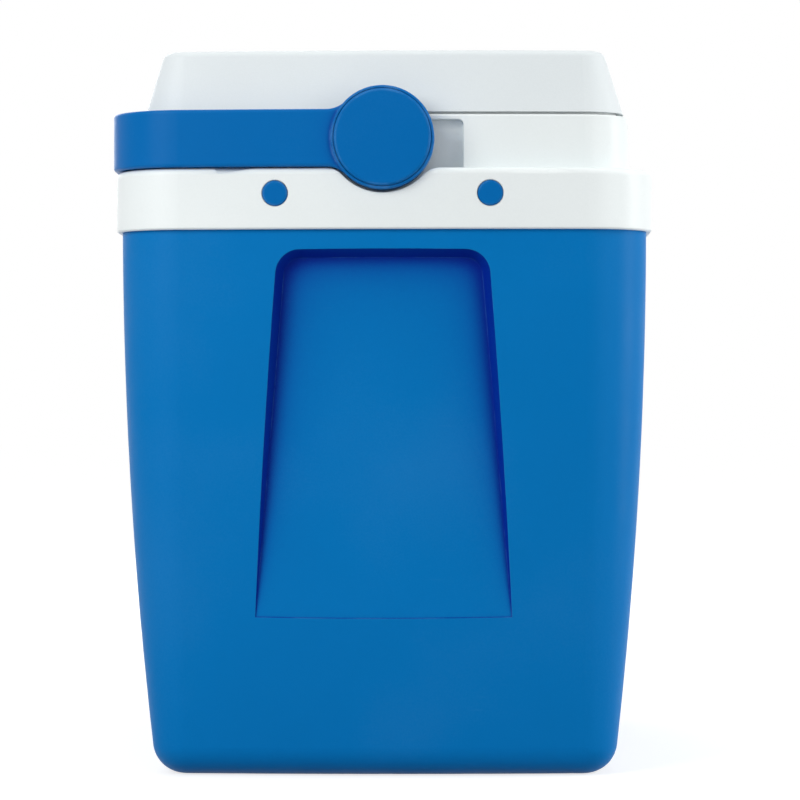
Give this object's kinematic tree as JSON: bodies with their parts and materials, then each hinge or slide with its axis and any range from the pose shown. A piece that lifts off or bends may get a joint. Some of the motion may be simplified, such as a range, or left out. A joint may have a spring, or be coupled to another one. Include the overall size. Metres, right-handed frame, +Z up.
{
  "type": "vaccine carrier",
  "caption": "insulated box-shaped vaccine carrier with a tapered shell, stepped collar, lift-off lid, swing bail handle on hubs, coolant packs and vial pad",
  "frame": {"origin": "centre of the base, on the ground plane that the carrier stands on", "axes": "+Z up; X across the carrier, over its narrow horizontal extent; Y along the carrier, with the front end facing -Y; the bail handle is folded down on the -X side"},
  "size_m": [0.3027, 0.411, 0.4],
  "materials": {
    "shell_blue": "satin moulded polyethylene",
    "handle_blue": "satin moulded polypropylene",
    "white_plastic": "satin moulded polyethylene",
    "liner_white": "smooth moulded polyethylene",
    "foam_core": "rigid polyurethane foam",
    "seal_rubber": "soft foamed rubber",
    "pin_plastic": "moulded acetal",
    "pack_plastic": "translucent blow-moulded polyethylene",
    "pack_cap_plastic": "moulded polypropylene",
    "pad_foam": "open-cell soft foam"
  },
  "bodies": {
    "body": {"outer_shell": "shell_blue", "body_insulation": "foam_core", "inner_liner": "liner_white", "collar": "white_plastic", "plug_front_left": "handle_blue", "plug_front_right": "handle_blue", "plug_rear_left": "handle_blue", "plug_rear_right": "handle_blue", "pivot_pin_front": "pin_plastic", "pivot_pin_rear": "pin_plastic", "coolant_pack_left_front": "pack_plastic", "coolant_pack_left_rear": "pack_plastic", "coolant_pack_right_front": "pack_plastic", "coolant_pack_right_rear": "pack_plastic", "coolant_pack_front": "pack_plastic", "coolant_pack_rear": "pack_plastic", "pack_cap_left_front": "pack_cap_plastic", "pack_cap_left_rear": "pack_cap_plastic", "pack_cap_right_front": "pack_cap_plastic", "pack_cap_right_rear": "pack_cap_plastic", "pack_cap_front": "pack_cap_plastic", "pack_cap_rear": "pack_cap_plastic", "vial_pad": "pad_foam"},
    "handle": {"handle": "handle_blue", "pivot_cap_front": "handle_blue", "pivot_cap_rear": "handle_blue"},
    "lid": {"lid_shell": "white_plastic", "lid_tray": "liner_white", "lid_insulation": "foam_core", "lid_seal": "seal_rubber"}
  },
  "joints": [
    {"name": "handle_swing", "type": "hinge", "parent": "body", "child": "handle", "pos_m": [0, 0, 0.3495], "axis": [0, 1, 0], "range_deg": [0, 180]},
    {"name": "lid_lift", "type": "slide", "parent": "body", "child": "lid", "axis": [0, 0, 1], "range_m": [0, 0.25]}
  ]
}
